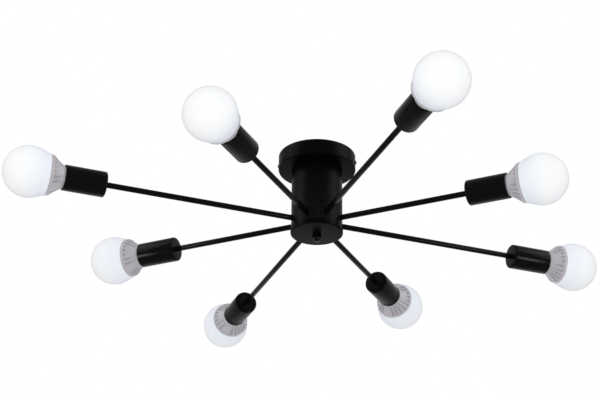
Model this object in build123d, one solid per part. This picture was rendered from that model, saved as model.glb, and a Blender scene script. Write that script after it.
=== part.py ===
# Eight-arm ceiling light: a canopy, a short column and eight straight arms, each with a
# cup, a screw lampholder and a globe bulb. Millimetres, +Z up. The origin is the middle
# of the ceiling face, so the whole light hangs below z = 0.
import os
from math import asin, atan2, cos, radians, sin, sqrt

from build123d import *

# ---- driving dimensions ----
# canopy: the pan against the ceiling
canopy_diameter = 125.0
canopy_height = 25.0
canopy_wall = 1.0
canopy_edge_radius = 1.2

# ceiling strap inside the canopy
strap_width = 24.0
strap_thickness = 2.0
strap_ear_width = 12.0
strap_ear_height = 18.0
strap_bend_radius = 2.0
slot_spacing = 70.0
slot_length = 20.0
slot_width = 4.5
earth_hole_diameter = 4.0
earth_hole_offset = 14.0

# the two screws through the canopy's side
side_screw_diameter = 4.0
side_screw_length = 9.0
side_screw_head_diameter = 6.5
side_screw_head_height = 2.2
side_screw_head_side = 0.9
side_screw_drive_length = 4.8
side_screw_drive_width = 0.8
side_screw_depth = 13.0

# column and its cap
column_diameter = 82.0
column_length = 114.0
column_wall = 1.2
cap_wall = 0.9
cap_floor = 1.2
cap_lip = 8.0
cap_edge_radius = 2.0

# rod through the column, with its nuts and the knob under the cap
rod_diameter = 10.0
rod_bore = 6.5
rod_above_floor = 9.0
rod_nut_across_flats = 14.0
rod_nut_height = 4.0
rod_washer_diameter = 20.0
washer_thickness = 1.2
knob_diameter = 14.0
knob_length = 13.5
knob_thread_depth = 9.0

# arms
arm_count = 8
first_arm_angle = -62.2
arm_rise = 21.5
arm_diameter = 9.0
arm_bore = 6.0
arm_thread_diameter = 8.0
hub_thread_length = 7.5
cup_thread_length = 9.0
long_arm_length = 306.0
short_arm_length = 213.0
arm_nut_across_flats = 12.0
arm_nut_height = 3.0
arm_washer_diameter = 13.0

# cups
cup_diameter = 40.0
cup_length = 65.0
cup_wall = 1.2
cup_edge_radius = 2.5

# lampholders
holder_diameter = 34.0
holder_front = 57.0
holder_neck_diameter = 16.0
holder_neck_length = 9.0
holder_shoulder = 5.0
socket_floor = 33.0
shell_wall = 0.4
shell_flange_bore = 16.0
tongue_width = 5.0
tongue_thickness = 0.5
tongue_reach = 6.4
tongue_foot = 3.8
tongue_bend = 0.7
tongue_tip = 4.5
tongue_slope = 0.6

# bulbs, measured from the middle of the globe back along the bulb's own axis
globe_diameter = 80.0
globe_wall = 1.6
globe_to_mouth = 53.0
rim_back = 28.0
rim_diameter = 64.4
rim_width = 6.0
rim_taper = 1.2
sink_neck_back = 53.0
sink_neck_diameter = 34.4
sink_waist_back = 43.5
sink_waist_diameter = 45.8
sink_end_back = 58.5
sink_end_diameter = 31.0
sink_plate = 2.5
sink_wall = 3.2
fin_slot_start_back = 33.0
fin_slot_start_width = 4.4
fin_slot_start_depth = 3.0
fin_slot_waist_depth = 1.6
fin_slot_end_back = 51.0
fin_slot_end_width = 1.6
fin_slot_end_depth = 0.3
short_slot_end_back = 38.5
slot_pattern = "long none none long long short short short long long long long".split()
pattern_count = 2
base_diameter = 26.4
base_length = 20.5
base_wall = 0.6
base_taper = 3.0
base_tip_diameter = 13.0
contact_diameter = 9.5
contact_height = 1.4

# wiring block on the canopy's floor
block_length = 30.0
block_width = 17.0
block_height = 12.0
block_step_width = 10.2
block_step_height = 5.4
block_offset = 33.0
block_way_count = 3
block_wire_bore = 4.0
block_wire_level = 3.0
block_screw_bore = 3.2

# nuts: how much of the height each turned-down corner takes
nut_bevel_share = 0.15

# clearances
thread_gap = 0.03
hole_gap = 0.2
slip_gap = 0.1
thread_play = 0.3
seat_gap = 0.3

# ---- levels and radii worked out from them ----
canopy_floor = canopy_wall - canopy_height
column_top = -canopy_height
column_end = column_top - column_length + cap_floor
cap_underside = column_top - column_length
arm_level = cap_underside + arm_rise
column_radius = column_diameter / 2
column_bore_radius = column_radius - column_wall
cup_bore_radius = cup_diameter / 2 - cup_wall
arm_thread_hole = arm_thread_diameter + 2 * hole_gap
rod_hole = rod_diameter + 2 * hole_gap
bulb_middle = cup_length + globe_to_mouth
base_top = bulb_middle - sink_end_back
base_tip = base_top - base_length - base_taper
shell_bore_radius = base_diameter / 2 + thread_play
holder_bore_radius = shell_bore_radius + shell_wall + slip_gap / 2


# ---- general shapes ----
def turned(outline):
    """A closed outline of (radius, height) lines and arcs, turned about Z."""
    return revolve(Plane.XZ * make_face(outline), Axis.Z)


def lathe(*corners):
    """A body turned about Z from straight lines between its (radius, height) corners."""
    return turned(Polyline(*corners, close=True))


def ring(outer_diameter, inner_diameter, bottom, top):
    """A plain round ring or tube about Z."""
    outer, inner = outer_diameter / 2, inner_diameter / 2
    return lathe((inner, bottom), (outer, bottom), (outer, top), (inner, top))


def hex_nut(across_flats, thread_diameter, height):
    """A hexagon nut standing on z = 0, with its corners turned down a little."""
    corner_radius = across_flats / sqrt(3)
    blank = extrude(RegularPolygon(corner_radius, 6), height)
    chamfered = lathe(
        (0, 0),
        (across_flats / 2, 0),
        (corner_radius, nut_bevel_share * height),
        (corner_radius, (1 - nut_bevel_share) * height),
        (across_flats / 2, height),
        (0, height),
    )
    hole = ring(thread_diameter + 2 * thread_gap, 0, 0, height)
    return (blank & chamfered) - hole


def dome(radius, level, height):
    """A shallow arc from the rim at (radius, level) to the axis, level + height there."""
    ball = (radius**2 + height**2) / (2 * abs(height))
    half_turn = asin(radius / ball) / 2
    middle = height - (ball - ball * cos(half_turn)) * height / abs(height)
    return ThreePointArc((radius, level), (ball * sin(half_turn), level + middle), (0, level + height))


def washer(outer_diameter, thread_diameter):
    """A flat washer standing on z = 0."""
    return ring(outer_diameter, thread_diameter + 2 * hole_gap, 0, washer_thickness)


# ---- canopy, strap and column ----
def make_canopy():
    """An open-topped pan with a hole for the rod and two holes in its side."""
    radius = canopy_diameter / 2
    pan = lathe(
        (rod_hole / 2, -canopy_height),
        (radius, -canopy_height),
        (radius, 0),
        (radius - canopy_wall, 0),
        (radius - canopy_wall, canopy_floor),
        (rod_hole / 2, canopy_floor),
    )
    outer_edge = pan.edges().filter_by(GeomType.CIRCLE).group_by(Axis.Z)[0].sort_by(SortBy.RADIUS)[-1]
    pan = fillet(outer_edge, min(canopy_edge_radius, 0.9 * canopy_height))
    screw_hole = Cylinder((side_screw_diameter + 2 * hole_gap) / 2, 4 * radius)
    return pan - Pos(0, 0, -side_screw_depth) * Rot(0, 90, 0) * screw_hole


def ear_face():
    """How far out the strap's ears reach: their corners just clear the round wall."""
    inside = canopy_diameter / 2 - canopy_wall - seat_gap
    return sqrt(inside**2 - (strap_ear_width / 2) ** 2)


def make_ceiling_strap():
    """The crossbar: two slots for the ceiling screws, and an ear bent down at each end."""
    reach = ear_face()
    inner_bend = strap_bend_radius
    outer_bend = strap_bend_radius + strap_thickness
    inside = reach - strap_thickness
    profile = Polyline(
        (-reach, -strap_ear_height),
        (-reach, 0),
        (reach, 0),
        (reach, -strap_ear_height),
        (inside, -strap_ear_height),
        (inside, -strap_thickness),
        (-inside, -strap_thickness),
        (-inside, -strap_ear_height),
        close=True,
    )
    band = Plane.XZ * make_face(profile)
    strap = extrude(band, strap_width / 2, both=True)
    bends = strap.edges().filter_by(Axis.Y)
    strap = fillet(bends.filter_by(lambda e: abs(e.center().Z) < 1e-6), outer_bend)
    corners = strap.edges().filter_by(Axis.Y)
    corners = corners.filter_by(lambda e: abs(e.center().Z + strap_thickness) < 1e-6)
    strap = fillet(corners.filter_by(lambda e: abs(abs(e.center().X) - inside) < 1e-6), inner_bend)

    # the ears are narrower than the bar
    trim = Box(3 * strap_thickness + inner_bend, strap_width, 2 * strap_ear_height)
    for side in (-1, 1):
        for edge in (-1, 1):
            beside = edge * (strap_ear_width + strap_width) / 2
            strap -= Pos(side * reach, beside, 0) * trim

    slot = extrude(SlotOverall(slot_length, slot_width), 4 * strap_thickness, both=True)
    earth_hole = Cylinder(earth_hole_diameter / 2, 4 * strap_thickness)
    thread_hole = Rot(0, 90, 0) * Cylinder(side_screw_diameter / 2 + thread_gap, 4 * strap_thickness)
    for side in (-1, 1):
        strap -= Pos(side * slot_spacing / 2, 0, 0) * slot
        strap -= Pos(side * earth_hole_offset, 0, 0) * earth_hole
        strap -= Pos(side * reach, 0, -side_screw_depth) * thread_hole
    return strap


def make_side_screws():
    """Two pan-head screws, pointing inwards through the canopy into the strap's ears."""
    head_radius = side_screw_head_diameter / 2
    shank_radius = side_screw_diameter / 2
    flat_side = side_screw_head_side
    screw = turned(
        [
            Line((0, 0), (head_radius, 0)),
            Line((head_radius, 0), (head_radius, flat_side)),
            dome(head_radius, flat_side, side_screw_head_height - flat_side),
            Line((0, side_screw_head_height), (0, 0)),
        ]
    )
    screw += Pos(0, 0, -side_screw_length / 2) * Cylinder(shank_radius, side_screw_length)
    drive = Box(side_screw_drive_length, side_screw_drive_width, side_screw_head_height)
    for turn in (0, 90):
        screw -= Pos(0, 0, side_screw_head_height) * Rot(0, 0, turn) * drive
    seat = (canopy_diameter + slip_gap) / 2
    return [
        Pos(side * seat, 0, -side_screw_depth) * Rot(0, side * 90, 0) * screw
        for side in (-1, 1)
    ]


def make_column():
    """A tube with a closed top, drilled for the rod and for the arms' threaded ends."""
    tube = lathe(
        (rod_hole / 2, column_top),
        (column_radius, column_top),
        (column_radius, column_end),
        (column_bore_radius, column_end),
        (column_bore_radius, column_top - column_wall),
        (rod_hole / 2, column_top - column_wall),
    )
    drill = Pos(0, 0, column_radius) * Cylinder(arm_thread_hole / 2, 4 * column_wall)
    return tube - [arm_frame(turn) * drill for turn in arm_turns]


def make_bottom_cap():
    """A shallow lid that slips over the column's lower end."""
    outer = column_radius + slip_gap + cap_wall
    lid = lathe(
        (rod_hole / 2, cap_underside),
        (outer, cap_underside),
        (outer, cap_underside + cap_lip),
        (column_radius + slip_gap, cap_underside + cap_lip),
        (column_radius + slip_gap, cap_underside + cap_floor),
        (rod_hole / 2, cap_underside + cap_floor),
    )
    rims = lid.edges().filter_by(GeomType.CIRCLE).group_by(Axis.Z)[0].sort_by(SortBy.RADIUS)
    return fillet(rims[-1], min(cap_edge_radius, 0.9 * (cap_floor + cap_wall)))


def make_rod():
    """The hollow threaded rod from inside the canopy down into the knob."""
    top = canopy_floor + rod_above_floor
    bottom = cap_underside - knob_thread_depth + seat_gap
    return ring(rod_diameter, rod_bore, bottom, top)


def make_rod_nuts():
    """A washer and a nut on the canopy's floor, and another pair under the column's top."""
    nut = hex_nut(rod_nut_across_flats, rod_diameter, rod_nut_height)
    plain_washer = washer(rod_washer_diameter, rod_diameter)
    below = column_top - column_wall
    return [
        Pos(0, 0, canopy_floor) * plain_washer,
        Pos(0, 0, canopy_floor + washer_thickness) * nut,
        Pos(0, 0, below - washer_thickness) * plain_washer,
        Pos(0, 0, below - washer_thickness - rod_nut_height) * nut,
    ]


def make_knob():
    """The knob nut that holds the cap: a short cylinder with a domed end, bored blind."""
    radius = knob_diameter / 2
    straight = knob_length - radius
    bore = rod_diameter / 2 + thread_gap
    outline = [
        Line((bore, 0), (radius, 0)),
        Line((radius, 0), (radius, -straight)),
        dome(radius, -straight, -radius),
        Line((0, -knob_length), (0, -knob_thread_depth)),
        Line((0, -knob_thread_depth), (bore, -knob_thread_depth)),
        Line((bore, -knob_thread_depth), (bore, 0)),
    ]
    return Pos(0, 0, cap_underside) * turned(outline)


def make_terminal_block():
    """A three-way wiring block standing on the canopy's floor, behind the strap."""
    middle = (Align.CENTER, Align.CENTER, Align.MIN)
    block = Box(block_length, block_step_width, block_height, align=middle)
    block += Box(block_length, block_width, block_step_height, align=middle)
    pitch = block_length / block_way_count
    wire_hole = Rot(90, 0, 0) * Cylinder(block_wire_bore / 2, 2 * block_width)
    screw_hole = Cylinder(block_screw_bore / 2, block_height, align=middle)
    for way in range(block_way_count):
        x = (way - (block_way_count - 1) / 2) * pitch
        block -= Pos(x, 0, block_wire_level) * wire_hole
        block -= Pos(x, 0, block_height / 2) * screw_hole
    return Pos(0, block_offset, canopy_floor) * block


# ---- arms and what they carry ----
arm_turns = [first_arm_angle + 360 / arm_count * i for i in range(arm_count)]


def arm_length(i):
    """Long and short arms alternate round the column."""
    return long_arm_length if i % 2 == 0 else short_arm_length


def arm_frame(turn, distance=0.0):
    """A frame on an arm's axis whose Z points outwards along the arm."""
    outwards = Vector(cos(radians(turn)), sin(radians(turn)), 0)
    start = Vector(0, 0, arm_level) + outwards * distance
    return Plane(start, x_dir=(0, 0, 1), z_dir=outwards).location


def cup_frame(i):
    """The frame at the back of arm i's cup."""
    return arm_frame(arm_turns[i], column_radius + arm_length(i))


def make_arm(length):
    """A tube with a thread turned on each end, which leaves a shoulder for the wall."""
    thread = arm_thread_diameter / 2
    bore, radius = arm_bore / 2, arm_diameter / 2
    return lathe(
        (bore, -hub_thread_length),
        (thread, -hub_thread_length),
        (thread, 0),
        (radius, 0),
        (radius, length),
        (thread, length),
        (thread, length + cup_thread_length),
        (bore, length + cup_thread_length),
    )


def make_arm_nuts():
    """A washer and a nut inside the column for each arm."""
    corner = arm_washer_diameter / 2
    seat = sqrt(column_bore_radius**2 - corner**2) - slip_gap / 2
    plain_washer = washer(arm_washer_diameter, arm_thread_diameter)
    nut = hex_nut(arm_nut_across_flats, arm_thread_diameter, arm_nut_height)
    pieces = []
    for turn in arm_turns:
        pieces.append(arm_frame(turn, seat - washer_thickness) * plain_washer)
        pieces.append(arm_frame(turn, seat - washer_thickness - arm_nut_height) * nut)
    return pieces


def make_cup():
    """A plain round cup, open at the front, with a hole in its back for the arm."""
    radius, hole = cup_diameter / 2, arm_thread_hole / 2
    cup = lathe(
        (hole, 0),
        (radius, 0),
        (radius, cup_length),
        (cup_bore_radius, cup_length),
        (cup_bore_radius, cup_wall),
        (hole, cup_wall),
    )
    inner_edges = cup.edges().filter_by(GeomType.CIRCLE).group_by(Axis.Z)[1].sort_by(SortBy.RADIUS)
    inside_radius = max(cup_edge_radius - cup_wall, 0.3)
    cup = fillet(inner_edges[-1], inside_radius)
    back_edges = cup.edges().filter_by(GeomType.CIRCLE).group_by(Axis.Z)[0].sort_by(SortBy.RADIUS)
    return fillet(back_edges[-1], cup_edge_radius)


def make_lampholder():
    """The insulating body: a threaded neck clamps the cup, and a socket faces forwards."""
    neck, body = holder_neck_diameter / 2, holder_diameter / 2
    thread = arm_thread_diameter / 2 + thread_gap
    neck_end = cup_wall + holder_neck_length
    shoulder_end = neck_end + holder_shoulder
    thread_end = cup_thread_length + seat_gap
    return lathe(
        (thread, cup_wall),
        (neck, cup_wall),
        (neck, neck_end),
        (body, shoulder_end),
        (body, holder_front),
        (holder_bore_radius, holder_front),
        (holder_bore_radius, socket_floor),
        (0, socket_floor),
        (0, thread_end),
        (thread, thread_end),
    )


def make_socket_contacts():
    """The screw shell that lines the socket, and the sprung tongue on its floor."""
    outer = shell_bore_radius + shell_wall
    shell = lathe(
        (shell_flange_bore / 2, socket_floor),
        (outer, socket_floor),
        (outer, holder_front - 2 * seat_gap),
        (shell_bore_radius, holder_front - 2 * seat_gap),
        (shell_bore_radius, socket_floor + shell_wall),
        (shell_flange_bore / 2, socket_floor + shell_wall),
    )
    rise = base_tip - contact_height - seat_gap - socket_floor
    under = rise - tongue_thickness
    path = Polyline(
        (-tongue_reach, 0),
        (tongue_slope - tongue_foot, 0),
        (tongue_slope - tongue_bend, under),
        (tongue_tip, under),
        (tongue_tip, rise),
        (-tongue_bend, rise),
        (-tongue_foot, tongue_thickness),
        (-tongue_reach, tongue_thickness),
        close=True,
    )
    strip = Plane.XZ * make_face(path)
    tongue = Pos(0, 0, socket_floor) * extrude(strip, tongue_width / 2, both=True)
    return [shell, tongue]


# ---- bulbs: their Z runs out of the cup, with 0 at the cup's back ----
def globe_outline(radius, rim_radius, rim_level):
    """Half the globe's section: round at the front, then straight lines to the rim."""
    reach = sqrt(rim_level**2 + rim_radius**2)
    tangent = atan2(rim_level, rim_radius) - acos_of(radius / reach)
    meet = (radius * cos(tangent), -radius * sin(tangent))
    half_way = radians(90) - (radians(90) + tangent) / 2
    arc = ThreePointArc((0, radius), (radius * cos(half_way), radius * sin(half_way)), meet)
    return arc, Line(meet, (rim_radius, -rim_level))


def acos_of(ratio):
    """The angle whose cosine is the ratio; 0 where the rim lies inside the sphere."""
    return radians(90) - asin(min(ratio, 1.0))


def make_globe():
    """The frosted cover: most of a sphere, drawn in to meet the heat sink's rim."""
    radius, rim = globe_diameter / 2, rim_diameter / 2
    outer_arc, outer_cone = globe_outline(radius, rim, rim_back)
    inner_arc, inner_cone = globe_outline(radius - globe_wall, rim - globe_wall, rim_back)
    outline = [
        outer_arc,
        outer_cone,
        Line((rim, -rim_back), (rim - globe_wall, -rim_back)),
        inner_cone,
        inner_arc,
        Line((0, radius - globe_wall), (0, radius)),
    ]
    return Pos(0, 0, bulb_middle) * turned(outline)


def slot_cutter(*floor):
    """What one slot takes out: its floor in (radius, height) points, and its wedge shape."""
    rim, start, end = rim_diameter / 2, -fin_slot_start_back, -fin_slot_end_back
    pocket = make_face(Polyline(*floor, (rim, floor[-1][1]), (rim, start), close=True))
    wide, narrow = fin_slot_start_width / 2, fin_slot_end_width / 2
    wedge = make_face(Polyline((-wide, start), (wide, start), (narrow, end), (-narrow, end), close=True))
    return extrude(Plane.XZ * pocket, wide, both=True) & extrude(Plane.YZ * wedge, rim)


def make_heatsink():
    """The cast body: a smooth rim, a hollow-curved taper and slots cut between its fins."""
    rim, band_end = rim_diameter / 2, rim_diameter / 2 - rim_taper
    waist, neck = sink_waist_diameter / 2, sink_neck_diameter / 2
    end = sink_end_diameter / 2
    taper_start = band_end - rim_taper
    band_back = rim_back + rim_width
    taper_back = band_back + rim_taper
    curve_start = (taper_start, -taper_back)
    curve = ThreePointArc(curve_start, (waist, -sink_waist_back), (neck, -sink_neck_back))
    hollow = waist - sink_wall - fin_slot_waist_depth
    outline = [
        Line((0, -rim_back), (rim, -rim_back)),
        Line((rim, -rim_back), (band_end, -band_back)),
        Line((band_end, -band_back), curve_start),
        curve,
        Line((neck, -sink_neck_back), (end, -sink_end_back)),
        Line((end, -sink_end_back), (0, -sink_end_back)),
        Line((0, -sink_end_back), (0, -sink_neck_back)),
        Line((0, -sink_neck_back), (hollow, -sink_waist_back)),
        Line((hollow, -sink_waist_back), (hollow, -rim_back - sink_plate)),
        Line((hollow, -rim_back - sink_plate), (0, -rim_back - sink_plate)),
        Line((0, -rim_back - sink_plate), (0, -rim_back)),
    ]
    sink = turned(outline)

    # each slot is deepest behind the rim and runs out on the taper
    neck_slope = (waist - neck) / (sink_neck_back - sink_waist_back)
    waist_slope = (taper_start - waist) / (sink_waist_back - taper_back)
    long_end = neck + neck_slope * (sink_neck_back - fin_slot_end_back) - fin_slot_end_depth
    short_end = waist + waist_slope * (sink_waist_back - short_slot_end_back)
    floor_start = (band_end - fin_slot_start_depth, -fin_slot_start_back)
    floor_middle = (waist - fin_slot_waist_depth, -sink_waist_back)
    cutters = {
        "long": slot_cutter(floor_start, floor_middle, (long_end, -fin_slot_end_back)),
        "short": slot_cutter(floor_start, (short_end, -short_slot_end_back)),
    }
    kinds = slot_pattern * pattern_count
    slots = [(i, kind) for i, kind in enumerate(kinds) if kind in cutters]
    sink -= [Rot(0, 0, 360 / len(kinds) * i) * cutters[kind] for i, kind in slots]
    return Pos(0, 0, bulb_middle) * sink


def make_base():
    """The screw base, plain at its thread's outer diameter, closed by its insulator."""
    outer, inner = base_diameter / 2, base_diameter / 2 - base_wall
    bevel = base_taper / 2
    end = base_top - base_length
    return lathe(
        (inner, base_top),
        (outer, base_top),
        (outer, end + bevel),
        (outer - bevel, end),
        (base_tip_diameter / 2, base_tip),
        (0, base_tip),
        (0, end),
        (inner - bevel, end),
        (inner, end + bevel),
    )


def make_contact():
    """The round contact under the base."""
    radius = contact_diameter / 2
    outline = [
        Line((0, base_tip), (radius, base_tip)),
        dome(radius, base_tip, -contact_height),
        Line((0, base_tip - contact_height), (0, base_tip)),
    ]
    return turned(outline)


# ---- every piece under its name ----
def make_pieces():
    """Every node's name and its solids, in place."""
    pieces = {
        "ceiling_strap": make_ceiling_strap(),
        "canopy": make_canopy(),
        "canopy_screws": make_side_screws(),
        "column": make_column(),
        "bottom_cap": make_bottom_cap(),
        "centre_rod": make_rod(),
        "rod_nuts": make_rod_nuts(),
        "cap_knob": make_knob(),
        "terminal_block": make_terminal_block(),
        "arm_nuts": make_arm_nuts(),
    }
    cup, holder, contacts = make_cup(), make_lampholder(), make_socket_contacts()
    globe, heatsink, base, tip = make_globe(), make_heatsink(), make_base(), make_contact()
    holders, shells = [], []
    for i in range(arm_count):
        place, number = cup_frame(i), i + 1
        pieces[f"arm_{number}"] = arm_frame(arm_turns[i], column_radius) * make_arm(arm_length(i))
        pieces[f"cup_{number}"] = place * cup
        pieces[f"bulb_{number}_globe"] = place * globe
        pieces[f"bulb_{number}_heatsink"] = place * heatsink
        pieces[f"bulb_{number}_base"] = place * base
        pieces[f"bulb_{number}_contact"] = place * tip
        holders.append(place * holder)
        shells += [place * piece for piece in contacts]
    pieces["lampholders"] = holders
    pieces["socket_contacts"] = shells
    return pieces


os.makedirs("parts", exist_ok=True)
for name, shape in make_pieces().items():
    solids = Compound(children=list(shape)) if isinstance(shape, list) else shape
    export_step(solids, f"parts/{name}.step")
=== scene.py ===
# Looks for an eight-arm ceiling light with globe bulbs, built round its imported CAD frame.
# Sizes in the dictionaries are millimetres and degrees; makeMesh turns them into metres.
from math import acos, asin, atan2, cos, pi, radians, sin, sqrt, tan, tau

import bmesh
import bpy
from mathutils import Matrix, Vector


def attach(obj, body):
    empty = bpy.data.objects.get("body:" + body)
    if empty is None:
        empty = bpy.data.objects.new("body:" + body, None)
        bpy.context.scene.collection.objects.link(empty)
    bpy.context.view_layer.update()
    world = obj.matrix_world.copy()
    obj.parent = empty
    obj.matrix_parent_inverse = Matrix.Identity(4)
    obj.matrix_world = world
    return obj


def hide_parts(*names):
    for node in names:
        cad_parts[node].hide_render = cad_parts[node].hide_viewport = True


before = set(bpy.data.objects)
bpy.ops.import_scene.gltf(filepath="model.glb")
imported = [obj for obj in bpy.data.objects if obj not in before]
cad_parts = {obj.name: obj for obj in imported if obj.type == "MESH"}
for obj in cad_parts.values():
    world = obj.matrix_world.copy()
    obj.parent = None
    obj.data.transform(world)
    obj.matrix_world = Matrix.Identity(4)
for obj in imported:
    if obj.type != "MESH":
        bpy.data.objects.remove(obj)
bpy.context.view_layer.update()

mm = 0.001

# the sizes that several pieces share, as in the CAD model
lightValues = {
    "armCount": 8,
    "firstArmTurn": -62.2,      # from +X, anticlockwise seen from above
    "armLevel": -117.5,
    "longArm": 306.0,           # column wall to cup
    "shortArm": 213.0,
    "columnRadius": 41.0,
    "capUnderside": -139.0,
    "rodHole": 5.2,
    "socketFloor": 33.0,        # from the cup's back, out along the arm
    "globeMiddle": 118.0,       # from the cup's back as well
}

meshValues = {
    "mergeWithin": 0.001,
    "axisWithin": 1e-6,         # a radius below this is a point on the axis
    "sharpAngle": 35,           # edges that turn more than this stay crisp
}


# a shape is a pair of lists, its points and its faces
def roundedLine(corners, steps=5, closed=True):
    # corners are (radius, height) or (radius, height, rounding)
    points, count = [], len(corners)
    for i, corner in enumerate(corners):
        here = Vector(corner[:2])
        rounding = corner[2] if len(corner) > 2 else 0.0
        if not rounding or (not closed and i in (0, count - 1)):
            points.append(tuple(here))
            continue
        back = (Vector(corners[i - 1][:2]) - here).normalized()
        on = (Vector(corners[(i + 1) % count][:2]) - here).normalized()
        half = back.angle(on) / 2
        cut = rounding / tan(half)
        middle = here + (back + on).normalized() * (rounding / sin(half))
        first, last = here + back * cut - middle, here + on * cut - middle
        start = atan2(first.y, first.x)
        sweep = (atan2(last.y, last.x) - start + pi) % tau - pi
        for step in range(steps + 1):
            angle = start + sweep * step / steps
            points.append((middle.x + rounding * cos(angle), middle.y + rounding * sin(angle)))
    return points


def arcLine(centre, radius, start, end, steps):
    # points on an arc in the (radius, height) plane, angles in degrees from the radius axis
    angles = [radians(start + (end - start) * i / steps) for i in range(steps + 1)]
    return [(centre[0] + radius * cos(a), centre[1] + radius * sin(a)) for a in angles]


def stepped(first, last, step):
    # values from first to last, evenly spaced by about one step
    count = max(1, round(abs(last - first) / step))
    return [first + (last - first) * i / count for i in range(count + 1)]


def turnedShape(line, segments, closed=True, reshape=None):
    # a line turned about Z; a point on the axis is one vertex, and reshape may move each radius
    points, faces, rings = [], [], []
    for radius, height in line:
        start = len(points)
        if radius < meshValues["axisWithin"]:
            points.append((0.0, 0.0, height))
            rings.append([start])
            continue
        for i in range(segments):
            angle = tau * i / segments
            reach = reshape(radius, height, angle) if reshape else radius
            points.append((reach * cos(angle), reach * sin(angle), height))
        rings.append(list(range(start, start + segments)))
    pairs = list(zip(rings, rings[1:])) + ([(rings[-1], rings[0])] if closed else [])
    for near, far in pairs:
        if len(near) == 1 and len(far) == 1:
            continue
        for i in range(segments):
            j = i + 1
            corners = [near[i % len(near)], near[j % len(near)],
                       far[j % len(far)], far[i % len(far)]]
            faces.append(list(dict.fromkeys(corners)))
    return points, faces


def prismShape(outline, low, high):
    # a flat outline of (x, z) points pushed along Y
    count = len(outline)
    points = [(x, low, z) for x, z in outline] + [(x, high, z) for x, z in outline]
    sides = [[i, (i + 1) % count, (i + 1) % count + count, i + count] for i in range(count)]
    return points, sides + [list(range(count)), list(range(2 * count - 1, count - 1, -1))]


def placed(shape, matrix):
    # the same shape, moved and turned
    return [tuple(matrix @ Vector(p)) for p in shape[0]], shape[1]


def raised(shape, height):
    return placed(shape, Matrix.Translation((0, 0, height)))


def threadOn(low, high, pitch, depth, fade, sharp=False):
    # a right-handed thread cut into every radius between two heights, running out at its ends
    def reshape(radius, height, angle):
        if not low <= height <= high:
            return radius
        turn = (height / pitch - angle / tau) % 1.0
        wave = abs(2 * turn - 1) if sharp else 0.5 + 0.5 * cos(tau * turn)
        strength = min(1.0, (height - low) / fade, (high - height) / fade)
        return radius - depth * (1 - wave) * strength
    return reshape


def makeMesh(name, shape, material, sharpAngle=meshValues["sharpAngle"]):
    mesh = bpy.data.meshes.new(name)
    mesh.from_pydata([Vector(p) * mm for p in shape[0]], [], shape[1])
    work = bmesh.new()
    work.from_mesh(mesh)
    bmesh.ops.remove_doubles(work, verts=work.verts, dist=meshValues["mergeWithin"] * mm)
    bmesh.ops.dissolve_degenerate(work, edges=work.edges, dist=meshValues["mergeWithin"] * mm)
    bmesh.ops.recalc_face_normals(work, faces=work.faces)
    work.to_mesh(mesh)
    work.free()
    mesh.shade_smooth()
    mesh.set_sharp_from_angle(angle=radians(sharpAngle))
    mesh.materials.append(material)
    return mesh


def cutMesh(mesh, cutter):
    # the mesh with another mesh taken out of it
    block = bpy.data.objects.new("block", mesh)
    knife = bpy.data.objects.new("knife", cutter)
    for part in (block, knife):
        bpy.context.scene.collection.objects.link(part)
    cut = block.modifiers.new("cut", "BOOLEAN")
    cut.object, cut.operation, cut.solver = knife, "DIFFERENCE", "EXACT"
    bpy.context.view_layer.update()
    whole = block.evaluated_get(bpy.context.evaluated_depsgraph_get())
    made = bpy.data.meshes.new_from_object(whole)
    for part in (block, knife):
        bpy.data.objects.remove(part)
    made.name = mesh.name
    made.shade_smooth()
    made.set_sharp_from_angle(angle=radians(meshValues["sharpAngle"]))
    return made


def addPiece(name, mesh, body, nodes, place=None):
    piece = bpy.data.objects.new(name, mesh)
    bpy.context.scene.collection.objects.link(piece)
    if place is not None:
        metres = place.copy()
        metres.translation = metres.translation * mm
        piece.matrix_world = metres
    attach(piece, body)
    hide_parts(*nodes)


def armPlace(index, distance):
    # a frame on an arm's axis: Z points outwards and X points up
    turn = radians(lightValues["firstArmTurn"] + 360 / lightValues["armCount"] * index)
    out = Vector((cos(turn), sin(turn), 0))
    up = Vector((0, 0, 1))
    side = out.cross(up)
    spot = out * distance + up * lightValues["armLevel"]
    return Matrix(((up.x, side.x, out.x, spot.x), (up.y, side.y, out.y, spot.y),
                   (up.z, side.z, out.z, spot.z), (0, 0, 0, 1)))


def cupPlace(index):
    # long and short arms alternate
    length = lightValues["longArm"] if index % 2 == 0 else lightValues["shortArm"]
    return armPlace(index, lightValues["columnRadius"] + length)


# the effects that the finishes share are node groups, built with these few helpers
def newGroup(name, inputs, outputs):
    group = bpy.data.node_groups.new(name, "ShaderNodeTree")
    for socketName, kind, value in inputs:
        socket = group.interface.new_socket(name=socketName, in_out="INPUT", socket_type=kind)
        socket.default_value = value
    for socketName, kind in outputs:
        group.interface.new_socket(name=socketName, in_out="OUTPUT", socket_type=kind)
    return group, group.nodes.new("NodeGroupInput"), group.nodes.new("NodeGroupOutput")


def newNode(tree, kind, links=None, **values):
    # links maps a socket's name or number to the output, or the value, that feeds it
    node = tree.nodes.new(kind)
    for key, value in values.items():
        setattr(node, key, value)
    for key, source in (links or {}).items():
        if hasattr(source, "is_output"):
            tree.links.new(source, node.inputs[key])
        else:
            node.inputs[key].default_value = source
    return node


def newMath(tree, operation, *terms):
    return newNode(tree, "ShaderNodeMath", dict(enumerate(terms)), operation=operation).outputs[0]


def newRange(tree, value, low, high, ends=(0.0, 1.0), **values):
    # carries a value between low and high over to the range between the two ends
    links = {"Value": value, "From Min": low, "From Max": high,
             "To Min": ends[0], "To Max": ends[1]}
    return newNode(tree, "ShaderNodeMapRange", links, **values).outputs[0]


def mixColors(tree, mask, first, second):
    # 6, 7 and 2 are the Mix node's colour sockets
    mixed = newNode(tree, "ShaderNodeMix", {0: mask, 6: first, 7: second}, data_type="RGBA")
    return mixed.outputs[2]


def objectSpot(tree):
    return newNode(tree, "ShaderNodeTexCoord").outputs["Object"]


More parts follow.
